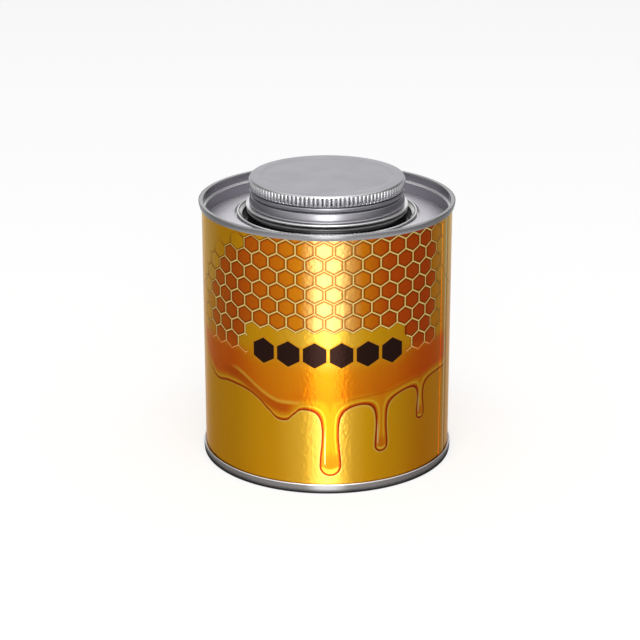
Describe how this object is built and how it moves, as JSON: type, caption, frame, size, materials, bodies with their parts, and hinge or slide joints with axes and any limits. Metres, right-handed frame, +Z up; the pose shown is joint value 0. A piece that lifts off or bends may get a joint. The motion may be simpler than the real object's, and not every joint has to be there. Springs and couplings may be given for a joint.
{
  "type": "round honey tin",
  "caption": "Shut round food tin for honey: lacquered wall between two seamed ends, short neck and knurled screw cap; stands on its base seam.",
  "frame": {"origin": "centre of the foot, on the plane the tin stands on", "axes": "+Z up along the tin's axis; the middle of the print faces -Y; +X is to the right of the front"},
  "size_m": [0.102, 0.102, 0.1154],
  "materials": {
    "printed_wall": "gloss gold lacquer over tinplate, printed with a honeycomb and a band of dripping honey",
    "end_tinplate": "satin tinplate",
    "neck_tinplate": "bright tinplate",
    "cap_tinplate": "satin tinplate"
  },
  "bodies": {
    "root": {"can_body": "printed_wall", "base_end": "end_tinplate", "top_end": "end_tinplate", "neck": "neck_tinplate", "cap": "cap_tinplate"}
  },
  "joints": []
}
